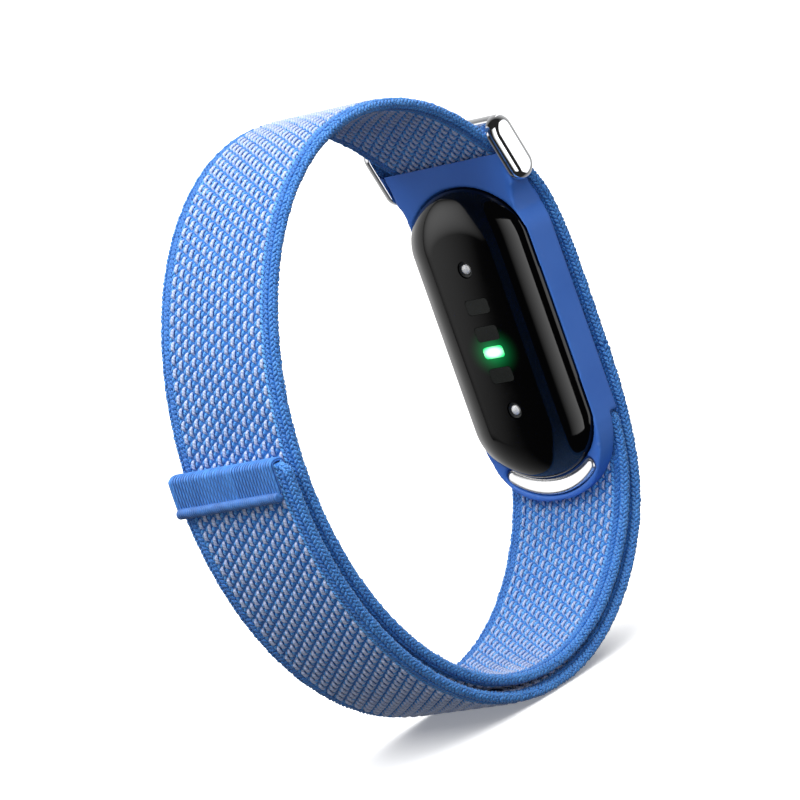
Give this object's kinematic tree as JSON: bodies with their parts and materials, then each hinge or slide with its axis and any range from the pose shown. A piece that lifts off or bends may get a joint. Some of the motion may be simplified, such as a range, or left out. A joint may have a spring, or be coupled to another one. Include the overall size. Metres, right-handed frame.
{
  "type": "fitness tracker band",
  "caption": "Wrist band: a woven strap closed on itself, a moulded carrier with a metal buckle, and a removable sensor pod facing the wrist.",
  "frame": {"origin": "centre of the opening that the wrist passes through", "axes": "+Y along the wearer's wrist, +Z along the pod towards the buckle, +X from the wrist outwards through the pod"},
  "size_m": [0.0634, 0.0238, 0.0774],
  "materials": {
    "webbing": "woven, matt, with lighter floats over blue",
    "hook_tape": "short hooks, matt",
    "ribbon": "ribbed, satin",
    "carrier_plastic": "satin moulded",
    "polished_metal": "mirror polished",
    "steel": "plain",
    "gloss_cover": "high gloss",
    "matte_black": "matt",
    "gasket_rubber": "matt",
    "light_window": "clear over a green light",
    "smoked_window": "smoked, smooth",
    "chip": "matt",
    "board": "lacquered",
    "foil": "satin"
  },
  "bodies": {
    "cradle": {"woven_strap": "webbing", "carrier": "carrier_plastic", "buckle_frame": "polished_metal", "buckle_pin": "steel", "latch_spring": "steel"},
    "latch": {"release_latch": "polished_metal"},
    "tail": {"strap_tail": "webbing", "hook_tape": "hook_tape", "pull_tab": "ribbon", "tab_piping": "ribbon"},
    "pod": {"contact_upper": "steel", "contact_lower": "steel", "vibration_motor": "steel", "wrist_cover": "gloss_cover", "pod_base": "matte_black", "contact_collar_upper": "matte_black", "contact_collar_lower": "matte_black", "light_baffle": "matte_black", "cover_gasket": "gasket_rubber", "led_window": "light_window", "led_emitter": "light_window", "sensor_window_1": "smoked_window", "sensor_window_2": "smoked_window", "sensor_window_3": "smoked_window", "photodiode_1": "chip", "photodiode_2": "chip", "photodiode_3": "chip", "processor_chip": "chip", "radio_chip": "chip", "motion_sensor_chip": "chip", "memory_chip": "chip", "main_board": "board", "battery_guard_board": "board", "battery": "foil", "antenna": "foil"}
  },
  "joints": [
    {"name": "pod_release", "type": "slide", "parent": "cradle", "child": "pod", "axis": [-1, 0, 0], "range_m": [0, 0.014]},
    {"name": "latch_press", "type": "slide", "parent": "cradle", "child": "latch", "axis": [1, 0, 0], "range_m": [0, 0.0003], "stiffness_N_per_m": 1500, "springref_m": -0.0001},
    {"name": "tail_peel", "type": "hinge", "parent": "cradle", "child": "tail", "pos_m": [-0.01529, 0, -0.03511], "axis": [0, -1, 0], "range_deg": [0, 60]}
  ]
}
